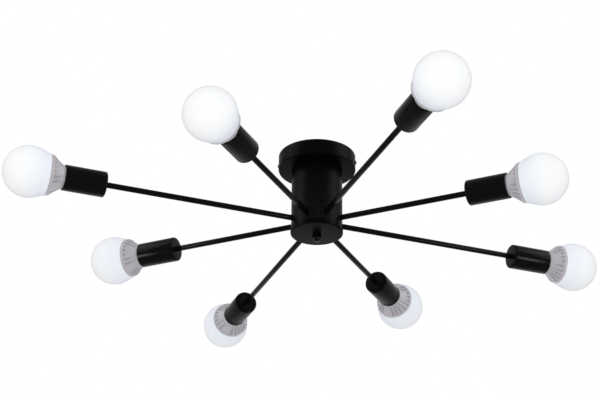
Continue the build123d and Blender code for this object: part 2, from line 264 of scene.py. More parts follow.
grainValues = {
    "fineDetail": 2.0, "fineRoughness": 0.55,
    "coarseSize": 0.22, "coarseDetail": 1.0,    # the size is a share of the fine grain's scale
}


def makeGrainGroup(values):
    # the soft unevenness of a sprayed, moulded or cast skin
    group, start, end = newGroup(
        "surfaceGrain",
        [("Scale", "NodeSocketFloat", 1200.0), ("Coarse Share", "NodeSocketFloat", 0.4)],
        [("Height", "NodeSocketFloat")],
    )
    spot, scale = objectSpot(group), start.outputs["Scale"]
    fine = newNode(group, "ShaderNodeTexNoise", {
        "Vector": spot, "Scale": scale, "Detail": values["fineDetail"],
        "Roughness": values["fineRoughness"]})
    wide = newMath(group, "MULTIPLY", scale, values["coarseSize"])
    coarse = newNode(group, "ShaderNodeTexNoise", {
        "Vector": spot, "Scale": wide, "Detail": values["coarseDetail"]})
    mixed = newNode(group, "ShaderNodeMix", {
        "Factor": start.outputs["Coarse Share"],
        "A": fine.outputs["Fac"], "B": coarse.outputs["Fac"]})
    group.links.new(mixed.outputs["Result"], end.inputs["Height"])
    return group


toneValues = {"low": 0.3, "high": 0.7, "detail": 3.0, "roughness": 0.6}


def makeToneGroup(values):
    # a slow drift of colour and gloss over the surface
    group, start, end = newGroup(
        "toneDrift",
        [("Color", "NodeSocketColor", (0.5, 0.5, 0.5, 1)), ("Drift", "NodeSocketFloat", 0.1),
         ("Roughness", "NodeSocketFloat", 0.4), ("Roughness Drift", "NodeSocketFloat", 0.05),
         ("Scale", "NodeSocketFloat", 30.0)],
        [("Color", "NodeSocketColor"), ("Roughness", "NodeSocketFloat")],
    )
    slow = newNode(group, "ShaderNodeTexNoise", {
        "Vector": objectSpot(group), "Scale": start.outputs["Scale"], "Detail": values["detail"],
        "Roughness": values["roughness"]})
    swing = newRange(group, slow.outputs["Fac"], values["low"], values["high"], (-1.0, 1.0))
    gain = newMath(group, "ADD", newMath(group, "MULTIPLY", swing, start.outputs["Drift"]), 1.0)
    tone = newNode(group, "ShaderNodeVectorMath", {0: start.outputs["Color"], "Scale": gain},
                   operation="SCALE")
    shift = newMath(group, "MULTIPLY_ADD", swing, start.outputs["Roughness Drift"],
                    start.outputs["Roughness"])
    group.links.new(tone.outputs[0], end.inputs["Color"])
    group.links.new(shift, end.inputs["Roughness"])
    return group


edgeValues = {"start": 0.55, "breakLow": 0.3, "breakHigh": 0.65, "breakDetail": 2.0}


def makeEdgeGroup(values):
    # 1 along the outer edges, where a coat is thin and hands rub it, and where a painted edge
    # highlight goes
    group, start, end = newGroup(
        "edgeRubAndHighlight",
        [("Reach", "NodeSocketFloat", 0.06), ("Breakup Scale", "NodeSocketFloat", 300.0)],
        [("Mask", "NodeSocketFloat")],
    )
    point = newNode(group, "ShaderNodeNewGeometry").outputs["Pointiness"]
    top = newMath(group, "ADD", values["start"], start.outputs["Reach"])
    edge = newRange(group, point, values["start"], top)
    broken = newNode(group, "ShaderNodeTexNoise", {
        "Vector": objectSpot(group), "Scale": start.outputs["Breakup Scale"],
        "Detail": values["breakDetail"]})
    patch = newRange(group, broken.outputs["Fac"], values["breakLow"], values["breakHigh"])
    group.links.new(newMath(group, "MULTIPLY", edge, patch), end.inputs["Mask"])
    return group


dustValues = {
    "color": (0.32, 0.31, 0.29), "roughness": 0.8,
    "slopeFrom": 0.55, "slopeTo": 1.0,          # how far a face turns up before dust stays on it
    "patchLow": 0.35, "patchHigh": 0.75, "patchDetail": 5.0, "patchRoughness": 0.7,
}


def makeDustGroup(values):
    # a thin settling of dust on what faces the ceiling
    group, start, end = newGroup(
        "restingDust",
        [("Amount", "NodeSocketFloat", 0.1), ("Scale", "NodeSocketFloat", 160.0)],
        [("Mask", "NodeSocketFloat")],
    )
    normal = newNode(group, "ShaderNodeNewGeometry").outputs["Normal"]
    parts = newNode(group, "ShaderNodeSeparateXYZ", {0: normal})
    upward = newRange(group, parts.outputs["Z"], values["slopeFrom"], values["slopeTo"])
    specks = newNode(group, "ShaderNodeTexNoise", {
        "Vector": objectSpot(group), "Scale": start.outputs["Scale"],
        "Detail": values["patchDetail"], "Roughness": values["patchRoughness"]})
    patch = newRange(group, specks.outputs["Fac"], values["patchLow"], values["patchHigh"])
    mask = newMath(group, "MULTIPLY", upward, patch)
    group.links.new(newMath(group, "MULTIPLY", mask, start.outputs["Amount"]), end.inputs["Mask"])
    return group


turningValues = {"detail": 2.0, "detailScale": 0.3}


def makeTurningGroup(values):
    # fine rings left by turning or pressing a round metal part about its Z axis
    group, start, end = newGroup(
        "turningMarks",
        [("Scale", "NodeSocketFloat", 900.0), ("Waver", "NodeSocketFloat", 0.6)],
        [("Height", "NodeSocketFloat")],
    )
    rings = newNode(group, "ShaderNodeTexWave", {
        "Vector": objectSpot(group), "Scale": start.outputs["Scale"],
        "Distortion": start.outputs["Waver"], "Detail": values["detail"],
        "Detail Scale": values["detailScale"]}, bands_direction="Z")
    group.links.new(rings.outputs["Fac"], end.inputs["Height"])
    return group


grainGroup = makeGrainGroup(grainValues)
toneGroup = makeToneGroup(toneValues)
edgeGroup = makeEdgeGroup(edgeValues)
dustGroup = makeDustGroup(dustValues)
turningGroup = makeTurningGroup(turningValues)
print("shared effects built")


def useGroup(tree, group, links):
    return newNode(tree, "ShaderNodeGroup", links, node_tree=group)


def newFinish(name, values):
    # a Principled finish: drifting colour and gloss, rubbed edges that also carry a painted edge
    # highlight, dust and a skin of grain
    material = bpy.data.materials.new(name)
    material.use_nodes = True
    tree = material.node_tree
    shader = tree.nodes["Principled BSDF"]
    tone = useGroup(tree, toneGroup, {
        "Color": (*values["color"], 1), "Drift": values["drift"], "Roughness": values["roughness"],
        "Roughness Drift": values["roughnessDrift"], "Scale": values["driftScale"]})
    color, roughness = tone.outputs["Color"], tone.outputs["Roughness"]
    # edges get a lighter colour: worn coat, and also a painted highlight along the edges
    if "edgeWearHighlightColor" in values:
        edge = useGroup(tree, edgeGroup, {"Reach": values["edgeReach"]})
        color = mixColors(tree, edge.outputs["Mask"], color, (*values["edgeWearHighlightColor"], 1))
    if "dust" in values:
        dust = useGroup(tree, dustGroup, {"Amount": values["dust"]}).outputs["Mask"]
        color = mixColors(tree, dust, color, (*dustValues["color"], 1))
        dulled = newNode(tree, "ShaderNodeMix", {"Factor": dust, "A": roughness,
                                                "B": dustValues["roughness"]})
        roughness = dulled.outputs["Result"]
    tree.links.new(color, shader.inputs["Base Color"])
    tree.links.new(roughness, shader.inputs["Roughness"])
    if "turning" in values:
        skin = useGroup(tree, turningGroup, {"Scale": values["grainScale"],
                                             "Waver": values["turning"]})
    else:
        skin = useGroup(tree, grainGroup, {"Scale": values["grainScale"],
                                           "Coarse Share": values["coarseShare"]})
    bump = newNode(tree, "ShaderNodeBump", {
        "Strength": values["bump"], "Distance": values["bumpDepth"] * mm,
        "Height": skin.outputs["Height"]})
    tree.links.new(bump.outputs["Normal"], shader.inputs["Normal"])
    for socket, value in values.get("sockets", {}).items():
        shader.inputs[socket].default_value = value
    return material


# "sockets" holds the plain values that stay on the shader itself
finishValues = {
    "blackPowder": {
        "color": (0.0016, 0.0016, 0.0017), "drift": 0.15, "driftScale": 28.0,
        "roughness": 0.36, "roughnessDrift": 0.03,
        "edgeWearHighlightColor": (0.014, 0.014, 0.015), "edgeReach": 0.11, "dust": 0.05,
        "grainScale": 1300.0, "coarseShare": 0.35, "bump": 0.06, "bumpDepth": 0.03,
        "sockets": {"Specular IOR Level": 0.015},
    },
    "blackSatin": {
        "color": (0.0026, 0.0026, 0.0027), "drift": 0.15, "driftScale": 40.0,
        "roughness": 0.20, "roughnessDrift": 0.04,
        "edgeWearHighlightColor": (0.014, 0.014, 0.015), "edgeReach": 0.11, "dust": 0.05,
        "grainScale": 1500.0, "coarseShare": 0.35, "bump": 0.06, "bumpDepth": 0.03,
        "sockets": {"Specular IOR Level": 0.03},
    },
    "blackGloss": {
        "color": (0.0015, 0.0015, 0.0017), "drift": 0.2, "driftScale": 60.0,
        "roughness": 0.09, "roughnessDrift": 0.03,
        "grainScale": 700.0, "coarseShare": 0.6, "bump": 0.15, "bumpDepth": 0.03,
        "sockets": {"Specular IOR Level": 0.06},
    },
    "blackOxide": {
        "color": (0.004, 0.004, 0.0045), "drift": 0.3, "driftScale": 200.0,
        "roughness": 0.33, "roughnessDrift": 0.08,
        "edgeWearHighlightColor": (0.03, 0.03, 0.032), "edgeReach": 0.09,
        "grainScale": 2500.0, "coarseShare": 0.3, "bump": 0.3, "bumpDepth": 0.02,
        "sockets": {"Specular IOR Level": 0.25},
    },
    "zincPlate": {
        "color": (0.62, 0.63, 0.65), "drift": 0.12, "driftScale": 90.0,
        "roughness": 0.3, "roughnessDrift": 0.09,
        "edgeWearHighlightColor": (0.78, 0.78, 0.79), "edgeReach": 0.13, "dust": 0.06,
        "grainScale": 2200.0, "coarseShare": 0.5, "bump": 0.2, "bumpDepth": 0.03,
        "sockets": {"Metallic": 1.0},
    },
    "brassSheet": {
        "color": (0.78, 0.58, 0.28), "drift": 0.12, "driftScale": 120.0,
        "roughness": 0.24, "roughnessDrift": 0.08,
        "grainScale": 1800.0, "coarseShare": 0.5, "bump": 0.2, "bumpDepth": 0.03,
        "sockets": {"Metallic": 1.0},
    },
    "whiteNylon": {
        "color": (0.80, 0.80, 0.75), "drift": 0.04, "driftScale": 60.0,
        "roughness": 0.5, "roughnessDrift": 0.06, "dust": 0.1,
        "grainScale": 1600.0, "coarseShare": 0.4, "bump": 0.25, "bumpDepth": 0.04,
    },
    "blackPhenolic": {
        "color": (0.006, 0.0055, 0.005), "drift": 0.3, "driftScale": 90.0,
        "roughness": 0.32, "roughnessDrift": 0.06,
        "grainScale": 1500.0, "coarseShare": 0.4, "bump": 0.25, "bumpDepth": 0.04,
        "sockets": {"Specular IOR Level": 0.25},
    },
    "heatSinkGrey": {
        "color": (0.44, 0.425, 0.455), "drift": 0.05, "driftScale": 70.0,
        "roughness": 0.42, "roughnessDrift": 0.06,
        "edgeWearHighlightColor": (0.47, 0.46, 0.48), "edgeReach": 0.15, "dust": 0.04,
        "grainScale": 1700.0, "coarseShare": 0.35, "bump": 0.3, "bumpDepth": 0.04,
        "sockets": {"Specular IOR Level": 0.2},
    },
    "nickelPlate": {
        "color": (0.75, 0.75, 0.74), "drift": 0.08, "driftScale": 120.0,
        "roughness": 0.16, "roughnessDrift": 0.06,
        "turning": 0.8, "grainScale": 700.0, "bump": 0.1, "bumpDepth": 0.02,
        "sockets": {"Metallic": 1.0},
    },
    "tinnedContact": {
        "color": (0.6, 0.6, 0.6), "drift": 0.15, "driftScale": 400.0,
        "roughness": 0.34, "roughnessDrift": 0.08,
        "grainScale": 2600.0, "coarseShare": 0.5, "bump": 0.3, "bumpDepth": 0.04,
        "sockets": {"Metallic": 1.0},
    },
    "frostedCover": {           # its thin clear skin darkens what is seen edge on a little
        "color": (0.93, 0.95, 0.965), "drift": 0.008, "driftScale": 45.0,
        "roughness": 0.42, "roughnessDrift": 0.04, "dust": 0.02,
        "grainScale": 2600.0, "coarseShare": 0.3, "bump": 0.12, "bumpDepth": 0.03,
        "sockets": {"Specular IOR Level": 0.02, "Coat Weight": 0.5, "Coat Roughness": 0.5,
                    "Coat IOR": 1.004, "Coat Tint": (0.93, 0.93, 0.94, 1.0)},
    },
}
finishes = {name: newFinish(name, values) for name, values in finishValues.items()}

# the cover's colour runs along its axis, darker and bluer towards its rim by the heat sink
coverFadeValues = {
    "rimColor": (0.885, 0.92, 0.985),
    "frontColor": (0.965, 0.98, 0.985),
    "rimAt": 90.0,              # heights from the cup's back
    "frontAt": 134.0,
}


def fadeCover(material, values):
    tree = material.node_tree
    tone = [n for n in tree.nodes if n.type == "GROUP" and n.node_tree == toneGroup][0]
    parts = newNode(tree, "ShaderNodeSeparateXYZ", {0: objectSpot(tree)})
    along = newRange(tree, parts.outputs["Z"], values["rimAt"] * mm, values["frontAt"] * mm,
                     interpolation_type="SMOOTHSTEP")
    faded = mixColors(tree, along, (*values["rimColor"], 1), (*values["frontColor"], 1))
    tree.links.new(faded, tone.inputs["Color"])


fadeCover(finishes["frostedCover"], coverFadeValues)
print("finishes built:", len(finishes))


def refinish(node, finish):
    # a CAD node that keeps its own shape
    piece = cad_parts[node]
    for materialSlot in piece.material_slots:
        materialSlot.link = "OBJECT"
        materialSlot.material = finishes[finish]


canopyValues = {
    "radius": 62.5, "height": 25.0, "wall": 1.0, "edgeRound": 1.6, "rimRound": 0.3,
    "insideRound": 0.6, "segments": 160,
}


def makeCanopy(values):
    radius, wall, hole = values["radius"], values["wall"], lightValues["rodHole"]
    low = -values["height"]
    line = roundedLine([
        (hole, low),
        (radius, low, values["edgeRound"]),
        (radius, 0, values["rimRound"]),
        (radius - wall, 0, values["rimRound"]),
        (radius - wall, low + wall, values["insideRound"]),
        (hole, low + wall),
    ])
    return makeMesh("canopyPan", turnedShape(line, values["segments"]), finishes["blackPowder"])


addPiece("canopyPan", makeCanopy(canopyValues), "fixture", ["canopy"])

columnValues = {"wall": 1.2, "top": -25.0, "end": -137.8, "topRound": 0.5, "segments": 128}


def makeColumn(values):
    radius, hole = lightValues["columnRadius"], lightValues["rodHole"]
    wall, top, end = values["wall"], values["top"], values["end"]
    line = roundedLine([
        (hole, top),
        (radius, top, values["topRound"]),
        (radius, end),
        (radius - wall, end),
        (radius - wall, top - wall),
        (hole, top - wall),
    ])
    return makeMesh("columnTube", turnedShape(line, values["segments"]), finishes["blackPowder"])


addPiece("columnTube", makeColumn(columnValues), "fixture", ["column"])

capValues = {
    "radius": 42.0, "inside": 41.1, "floor": 1.2, "lip": 8.0,
    "edgeRound": 2.0, "lipRound": 0.3, "roundSteps": 7, "segments": 128,
}


def makeCap(values):
    low, hole = lightValues["capUnderside"], lightValues["rodHole"]
    line = roundedLine([
        (hole, low),
        (values["radius"], low, values["edgeRound"]),
        (values["radius"], low + values["lip"], values["lipRound"]),
        (values["inside"], low + values["lip"]),
        (values["inside"], low + values["floor"]),
        (hole, low + values["floor"]),
    ], values["roundSteps"])
    return makeMesh("columnCap", turnedShape(line, values["segments"]), finishes["blackPowder"])


addPiece("columnCap", makeCap(capValues), "fixture", ["bottom_cap"])

knobValues = {
    "radius": 7.0, "length": 13.5, "bore": 5.03, "boreDepth": 9.0, "topRound": 0.4,
    "domeSteps": 24, "segments": 64,
}


def makeKnob(values):
    # hangs from the cap's underside: a short straight part, then a dome
    radius, straight = values["radius"], values["length"] - values["radius"]
    line = [(values["bore"], 0.0)]
    line += roundedLine([(values["bore"], 0), (radius, 0, values["topRound"]), (radius, -straight)],
                        closed=False)[1:]
    line += arcLine((0, -straight), radius, 0, -90, values["domeSteps"])[1:]
    line[-1] = (0.0, -values["length"])
    line += [(0.0, -values["boreDepth"]), (values["bore"], -values["boreDepth"])]
    return makeMesh("capKnob", turnedShape(line, values["segments"]), finishes["blackGloss"])


addPiece("capKnob", makeKnob(knobValues), "fixture", ["cap_knob"],
         Matrix.Translation((0, 0, lightValues["capUnderside"])))
print("canopy, column, cap and knob built")

rodValues = {
    "radius": 5.0, "bore": 3.25, "top": -15.0, "bottom": -147.7,
    "pitch": 1.5, "depth": 0.75, "fade": 1.0, "threadTop": 14.0, "threadBottom": 18.0,
    "rowStep": 0.25, "segments": 40, "sharpAngle": 50,
}


def makeRod(values):
    # a hollow rod, threaded at both ends and plain between
    top, bottom = values["top"], values["bottom"]
    upper, lower = top - values["threadTop"], bottom + values["threadBottom"]
    cuts = [threadOn(low, high, values["pitch"], values["depth"], values["fade"], sharp=True)
            for low, high in ((upper, top), (bottom, lower))]

    def reshape(radius, height, angle):
        if radius < values["radius"]:
            return radius
        return min(cut(radius, height, angle) for cut in cuts)

    heights = stepped(bottom, lower, values["rowStep"]) + stepped(upper, top, values["rowStep"])
    line = [(values["bore"], bottom)]
    line += [(values["radius"], h) for h in heights] + [(values["bore"], top)]
    return makeMesh("threadedRod", turnedShape(line, values["segments"], reshape=reshape),
                    finishes["zincPlate"], values["sharpAngle"])


addPiece("threadedRod", makeRod(rodValues), "fixture", ["centre_rod"])

for node, finish, slot in (("ceiling_strap", "zincPlate", "zinc_steel"),
                           ("rod_nuts", "zincPlate", "zinc_steel"),
                           ("arm_nuts", "zincPlate", "zinc_steel"),
                           ("terminal_block", "whiteNylon", "white_nylon")):
    refinish(node, finish)

screwValues = {
    "headRadius": 3.25, "headHeight": 2.2, "headSide": 0.88, "headRound": 0.1, "crownStep": 0.06,
    "shankRadius": 2.0, "length": 9.0, "tipInset": 0.5, "tipHeight": 0.4,
    "pitch": 0.7, "depth": 0.35, "fade": 0.6, "plainNeck": 0.6, "rowStep": 0.12, "segments": 40,
    "drive": 4.4, "driveWidth": 0.85, "driveDepth": 1.5, "driveFoot": 0.3, "driveOver": 0.2,
    "seat": 62.55, "level": -13.0, "turn": 22,      # where the head sits, and its recess's turn
}


def makeScrew(values):
    head, side, height = values["headRadius"], values["headSide"], values["headHeight"]
    shankRadius, tip = values["shankRadius"], -values["length"]
    threadStart = tip + values["tipHeight"]
    ball = (head ** 2 + (height - side) ** 2) / (2 * (height - side))
    crown = [(ball * sin(a), height - ball + ball * cos(a))
             for a in stepped(asin(head / ball), 0.0, values["crownStep"])]
    crown[-1] = (0.0, height)
    shank = [(shankRadius, h) for h in stepped(threadStart, 0.0, values["rowStep"])]
    line = [(0.0, tip), (shankRadius - values["tipInset"], tip)] + shank
    line += [(head - values["headRound"], 0.0), (head, values["headRound"])] + crown
    cut = threadOn(threadStart, -values["plainNeck"], values["pitch"], values["depth"],
                   values["fade"], sharp=True)

    def reshape(radius, z, angle):
        return cut(radius, z, angle) if z < 0 else radius

    shape = turnedShape(line, values["segments"], closed=False, reshape=reshape)
    body = makeMesh("sideScrew", shape, finishes["blackOxide"])
    # a cross recess that narrows as it goes down
    wide, thin = values["drive"] / 2, values["driveWidth"] / 2
    foot = values["driveFoot"] * wide
    low, high = height - values["driveDepth"], height + values["driveOver"]
    wing = prismShape([(-foot, low), (foot, low), (wide, high), (-wide, high)], -thin, thin)
    for turn in (0, 90):
        turned = placed(wing, Matrix.Rotation(radians(turn), 4, "Z"))
        body = cutMesh(body, makeMesh("recess", turned, finishes["blackOxide"]))
    return body


screwMesh = makeScrew(screwValues)
for side, name in ((1, "sideScrewRight"), (-1, "sideScrewLeft")):
    place = Matrix.Translation((side * screwValues["seat"], 0, screwValues["level"]))
    place = place @ Matrix.Rotation(radians(90 * side), 4, "Y")
    addPiece(name, screwMesh, "fixture", ["canopy_screws"],
             place @ Matrix.Rotation(radians(screwValues["turn"]), 4, "Z"))
print("rod, strap and screws built")

# heights on an arm run out from the column's wall
armValues = {
    "radius": 4.5, "bore": 3.0, "thread": 4.0, "hubEnd": 7.5, "cupEnd": 9.0,
    "shoulderRound": 0.25, "roundSteps": 3, "segments": 48,
}


def makeArm(length, values):
    line = roundedLine([
        (values["bore"], -values["hubEnd"]),
        (values["thread"], -values["hubEnd"]),
        (values["thread"], 0),
        (values["radius"], 0, values["shoulderRound"]),
        (values["radius"], length, values["shoulderRound"]),
        (values["thread"], length),
        (values["thread"], length + values["cupEnd"]),
        (values["bore"], length + values["cupEnd"]),
    ], values["roundSteps"])
    return makeMesh("arm", turnedShape(line, values["segments"]), finishes["blackSatin"])


# heights on the cups and on all that is in them run out from the cup's back
cupValues = {
    "radius": 20.0, "wall": 1.2, "length": 65.0, "hole": 4.2, "backRound": 2.5, "mouthRound": 0.3,
    "segments": 96,
}


def makeCup(values):
    radius, inside = values["radius"], values["radius"] - values["wall"]
    line = roundedLine([
        (values["hole"], 0),
        (radius, 0, values["backRound"]),
        (radius, values["length"], values["mouthRound"]),
        (inside, values["length"], values["mouthRound"]),
        (inside, values["wall"], values["backRound"] - values["wall"]),
        (values["hole"], values["wall"]),
    ])
    return makeMesh("cup", turnedShape(line, values["segments"]), finishes["blackSatin"])


holderValues = {
    "back": 1.2, "neck": 8.0, "neckEnd": 10.2, "shoulderEnd": 15.2, "radius": 17.0, "front": 57.0,
    "bore": 13.95, "threadHole": 4.03, "threadEnd": 9.3,
    "backRound": 0.3, "neckRound": 1.0, "shoulderRound": 1.5, "edgeRound": 0.8, "boreRound": 0.4,
    "segments": 72,
}


def makeHolder(values):
    floor = lightValues["socketFloor"]
    line = roundedLine([
        (values["threadHole"], values["back"]),
        (values["neck"], values["back"], values["backRound"]),
        (values["neck"], values["neckEnd"], values["neckRound"]),
        (values["radius"], values["shoulderEnd"], values["shoulderRound"]),
        (values["radius"], values["front"], values["edgeRound"]),
        (values["bore"], values["front"], values["boreRound"]),
        (values["bore"], floor),
        (0, floor),
        (0, values["threadEnd"]),
        (values["threadHole"], values["threadEnd"]),
    ])
    return makeMesh("lampholderBody", turnedShape(line, values["segments"]),
                    finishes["blackPhenolic"])


# the rolled thread that the bulb's base and the socket's shell share
threadValues = {"pitch": 3.629, "depth": 1.1, "fade": 1.5, "rowStep": 0.36, "sharpAngle": 50}


def rolledThread(values):
    return threadOn(values["threadLow"], values["threadHigh"], threadValues["pitch"],
                    threadValues["depth"], threadValues["fade"])


shellValues = {
    "bore": 13.5, "wall": 0.4, "sideLow": 35.0, "sideHigh": 56.1, "flange": 8.0,
    "threadLow": 36.0, "threadHigh": 55.6, "segments": 64,
}


def makeSocketShell(values):
    inside, outside = values["bore"], values["bore"] + values["wall"]
    floor, flange = lightValues["socketFloor"], values["flange"]
    heights = stepped(values["sideLow"], values["sideHigh"], threadValues["rowStep"])
    line = [(flange, floor), (outside, floor)] + [(outside, h) for h in heights]
    line += [(inside, h) for h in reversed(heights)]
    line += [(inside, floor + values["wall"]), (flange, floor + values["wall"])]
    shape = turnedShape(line, values["segments"], reshape=rolledThread(values))
    return makeMesh("socketShell", shape, finishes["brassSheet"], threadValues["sharpAngle"])


# the sprung tongue's side view, as (along, height) points on the socket's floor
tongueValues = {
    "under": [(-6.4, 0.0), (-2.88, 0.0), (-1.92, 0.156), (-0.768, 0.7), (0.0, 0.8), (4.48, 0.8)],
    "over": [(4.48, 1.3), (0.0, 1.3), (-1.28, 1.25), (-2.688, 0.6), (-3.52, 0.5), (-6.4, 0.5)],
    "halfWidth": 2.5,
}


def makeTongue(values):
    strip = prismShape(values["under"] + values["over"], -values["halfWidth"], values["halfWidth"])
    return makeMesh("contactTongue", raised(strip, lightValues["socketFloor"]),
                    finishes["brassSheet"])


# a bulb's cover and heat sink are measured back from the middle of the cover
globeValues = {
    "radius": 40.0, "wall": 1.6, "rimRadius": 32.2, "rimBack": 28.0, "rimRound": 0.35,
    "rimBend": 0.3,             # where the rounding's middle point lies, as a share of it
    "steps": 56, "segments": 144, "sharpAngle": 60,
}


def makeGlobe(values):
    rimRadius, rimBack = values["rimRadius"], values["rimBack"]

    def section(radius, rim):
        # from the front down to where a straight line to the rim leaves the sphere
        reach = sqrt(rimBack ** 2 + rim ** 2)
        tangent = atan2(rimBack, rim) - acos(min(1.0, radius / reach))
        sweep = pi / 2 + tangent
        angles = [pi / 2 - sweep * i / values["steps"] for i in range(values["steps"] + 1)]
        curve = [(radius * cos(a), radius * sin(a)) for a in angles]
        curve[0] = (0.0, radius)
        return curve + [(rim, -rimBack)]

    outer = section(values["radius"], rimRadius)
    inner = section(values["radius"] - values["wall"], rimRadius - values["wall"])
    turnIn, bend = values["rimRound"], values["rimBend"] * values["rimRound"]
    rim = [(rimRadius, -rimBack + turnIn), (rimRadius - bend, -rimBack + bend),
           (rimRadius - turnIn, -rimBack)]
    shape = turnedShape(outer[:-1] + rim + inner[::-1], values["segments"], closed=False)
    return makeMesh("frostedGlobe", raised(shape, lightValues["globeMiddle"]),
                    finishes["frostedCover"], values["sharpAngle"])


sinkValues = {
    # the outline's (radius, distance back) behind the cover's rim
    "band": (31.0, 34.0), "taper": (29.8, 35.2), "waist": (22.9, 43.5), "neck": (17.2, 53.0),
    "end": (15.5, 58.5), "endBevel": 0.3,
    "slotStartBack": 33.0, "slotMouthBack": 33.3, "slotEndBack": 51.0,
    "slotWide": 4.8, "slotNarrow": 1.8,
    "slotDepths": {             # each kind's depth at distances behind the globe's middle
        "long": [(33.0, 0.0), (33.3, 3.2), (35.5, 3.6), (43.5, 2.0), (51.0, 0.0)],
        "short": [(33.0, 0.0), (33.3, 3.2), (34.6, 3.2), (38.8, 0.0)],
    },
    # across one slot: distance from its middle in half widths, and the share of its depth
    "slotSection": [(-1.0, 0.0), (-0.92, 0.25), (-0.78, 0.85), (0.0, 1.0),
                    (0.78, 0.85), (0.92, 0.25), (1.0, 0.0)],
    "pattern": "long none none long long short short short long long long long".split(),
    "patterns": 2,
    "rowStep": 0.6, "sharpAngle": 40,
}


def circleThrough(a, b, c):
    # the centre and radius of the circle through three (radius, height) points
    (ax, ay), (bx, by), (cx, cy) = a, b, c
    double = 2 * (ax * (by - cy) + bx * (cy - ay) + cx * (ay - by))
    sa, sb, sc = ax * ax + ay * ay, bx * bx + by * by, cx * cx + cy * cy
    x = (sa * (by - cy) + sb * (cy - ay) + sc * (ay - by)) / double
    y = (sa * (cx - bx) + sb * (ax - cx) + sc * (bx - ax)) / double
    return (x, y), sqrt((ax - x) ** 2 + (ay - y) ** 2)


def makeHeatSink(values):
    rim = (globeValues["rimRadius"], -globeValues["rimBack"])
    band, taper, waist, neck, end = [(values[at][0], -values[at][1])
                                     for at in ("band", "taper", "waist", "neck", "end")]
    (middleX, middleY), bow = circleThrough(taper, waist, neck)

    def skin(height):
        # the outline between the rim and the neck: a band, a short taper, then a hollow curve
        for upper, lower in ((rim, band), (band, taper)):
            if height >= lower[1]:
                rise = (height - lower[1]) / (upper[1] - lower[1])
                return lower[0] + (upper[0] - lower[0]) * rise
        return middleX - sqrt(bow ** 2 - (height - middleY) ** 2)

    def slotDepth(kind, back):
        line = values["slotDepths"].get(kind, [])
        for (back1, depth1), (back2, depth2) in zip(line, line[1:]):
            if back1 <= back <= back2:
                return depth1 + (depth2 - depth1) * (back - back1) / (back2 - back1)
        return 0.0

    kinds = values["pattern"] * values["patterns"]
    pitchAngle = tau / len(kinds)
    points, rings = [], []

    def addRing(radius, height):
        # the slots narrow from behind the rim to where they end
        length = values["slotEndBack"] - values["slotStartBack"]
        share = min(max((-height - values["slotStartBack"]) / length, 0.0), 1.0)
        half = (values["slotWide"] - (values["slotWide"] - values["slotNarrow"]) * share) / 2
        start = len(points)
        for pitch, kind in enumerate(kinds):
            middle, cut = pitch * pitchAngle, slotDepth(kind, -height)
            for across, drop in [(None, 0.0)] + values["slotSection"]:
                angle = middle + (-pitchAngle / 2 if across is None else across * half / radius)
                reach = radius - drop * cut
                points.append((reach * cos(angle), reach * sin(angle), height))
        rings.append(list(range(start, len(points))))

    edge = roundedLine([(0, rim[1]), (*rim, globeValues["rimRound"]), band], closed=False)
    for radius, height in edge[1:-1]:
        addRing(radius, height)
    addRing(skin(-values["slotStartBack"]), -values["slotStartBack"])
    for height in stepped(-values["slotMouthBack"], neck[1], values["rowStep"]):
        addRing(skin(height), height)
    addRing(end[0], end[1] + values["endBevel"])
    addRing(end[0] - values["endBevel"], end[1])
    around = len(rings[0])
    faces = [[near[i], near[(i + 1) % around], far[(i + 1) % around], far[i]]
             for near, far in zip(rings, rings[1:]) for i in range(around)]
    shape = raised((points, faces + [rings[0], rings[-1]]), lightValues["globeMiddle"])
    return makeMesh("heatSink", shape, finishes["heatSinkGrey"], values["sharpAngle"])


baseValues = {
    "radius": 13.2, "wall": 0.5, "top": 59.5, "end": 39.0, "bevel": 1.5,
    "threadLow": 41.2, "threadHigh": 57.6, "segments": 64,
}


def makeBaseShell(values):
    radius, wall, end, bevel = values["radius"], values["wall"], values["end"], values["bevel"]
    heights = stepped(end + bevel, values["top"], threadValues["rowStep"])
    line = [(radius - bevel, end)] + [(radius, h) for h in heights]
    line += [(radius - wall, h) for h in reversed(heights)] + [(radius - bevel - wall, end)]
    shape = turnedShape(line, values["segments"], reshape=rolledThread(values))
    return makeMesh("baseShell", shape, finishes["nickelPlate"], threadValues["sharpAngle"])


insulatorValues = {
    "radius": 11.7, "top": 39.4, "shoulder": 39.0, "shoulderInset": 0.6, "shoulderRound": 0.2,
    "slopeRadius": 8.1, "slope": 36.8, "slopeRound": 1.0, "tipRadius": 6.5, "tip": 36.0,
    "segments": 64,
}


def makeInsulator(values):
    # closes the base's end and narrows to the seat of the contact
    line = roundedLine([
        (0, values["top"]),
        (values["radius"] - values["shoulderInset"], values["top"]),
        (values["radius"], values["shoulder"], values["shoulderRound"]),
        (values["slopeRadius"], values["slope"], values["slopeRound"]),
        (values["tipRadius"], values["tip"]),
        (0, values["tip"]),
    ], closed=False)
    return makeMesh("baseInsulator", turnedShape(line, values["segments"], closed=False),
                    finishes["blackPhenolic"])


contactValues = {
    "radius": 4.75, "height": 1.4, "level": 36.0,
    "edge": [(0.0, 0.0), (0.1, 0.25), (0.5, 0.4)],      # insets and drops round the disc
    "beadRadius": 2.3, "beadFoot": 0.45, "beadStep": 0.2, "segments": 48,
}


def makeContact(values):
    # a pressed disc with a bead of solder in its middle
    radius, level = values["radius"], values["level"]
    height, foot = values["height"], values["beadFoot"]
    bead = [(values["beadRadius"] * cos(a), level - foot - (height - foot) * sin(a))
            for a in stepped(0.0, pi / 2, values["beadStep"])]
    bead[-1] = (0.0, level - height)
    disc = [(0.0, level)] + [(radius - inset, level - drop) for inset, drop in values["edge"]]
    return makeMesh("bulbContact", turnedShape(disc + bead, values["segments"], closed=False),
                    finishes["tinnedContact"])


